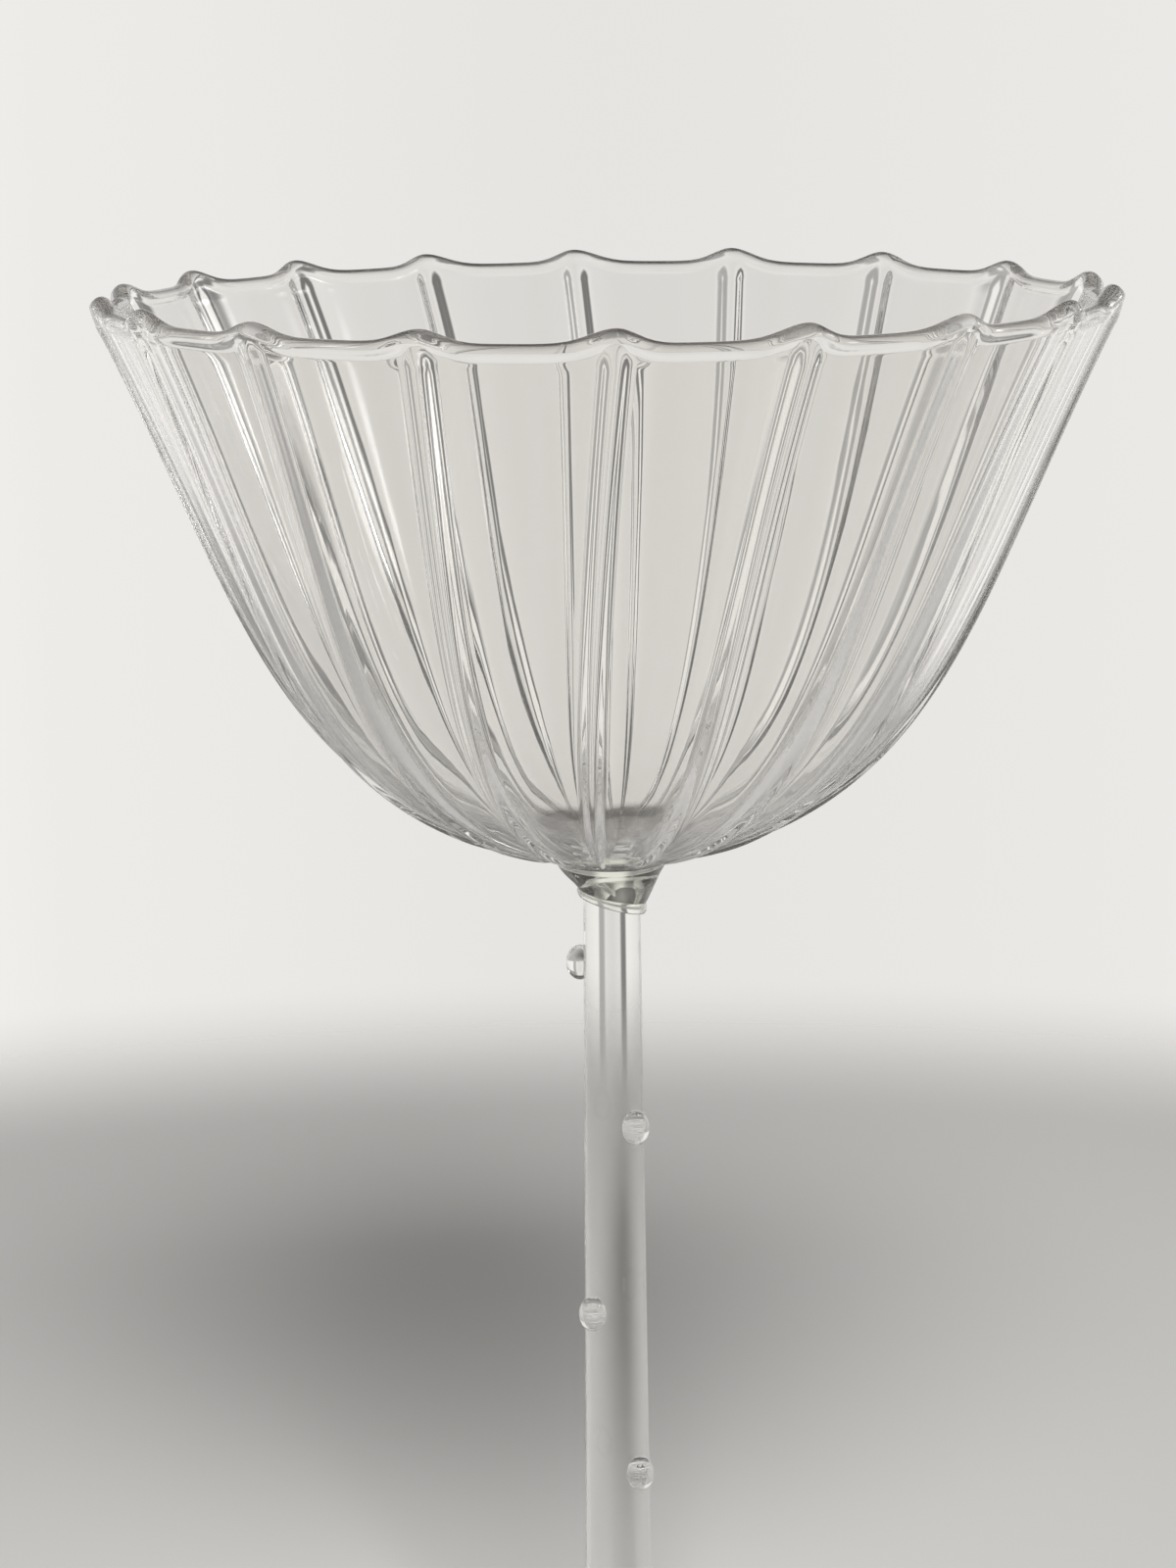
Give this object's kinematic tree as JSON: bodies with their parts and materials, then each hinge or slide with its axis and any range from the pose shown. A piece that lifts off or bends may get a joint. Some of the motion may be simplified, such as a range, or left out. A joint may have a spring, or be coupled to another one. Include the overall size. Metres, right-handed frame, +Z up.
{
  "type": "champagne coupe",
  "caption": "Clear hand-made stemmed glass with a flared, ribbed and slightly twisted bowl, a knuckled rim, a small collar, a slim rod stem with fused drops and a round foot.",
  "frame": {"origin": "centre of the foot's underside, on the surface that the glass stands on", "axes": "+Z up along the stem to the rim; -Y is the front, as pictured"},
  "size_m": [0.105, 0.1064, 0.168],
  "materials": {
    "bowl_glass": "clear, fire-polished",
    "merese_glass": "clear, faintly green where thick",
    "stem_glass": "clear, drawn",
    "bead_glass": "clear, fire-polished",
    "foot_glass": "clear, fire-polished"
  },
  "bodies": {
    "root": {"bowl": "bowl_glass", "merese": "merese_glass", "stem": "stem_glass", "stem_bead_1": "bead_glass", "stem_bead_2": "bead_glass", "stem_bead_3": "bead_glass", "stem_bead_4": "bead_glass", "stem_bead_5": "bead_glass", "foot": "foot_glass"}
  },
  "joints": []
}
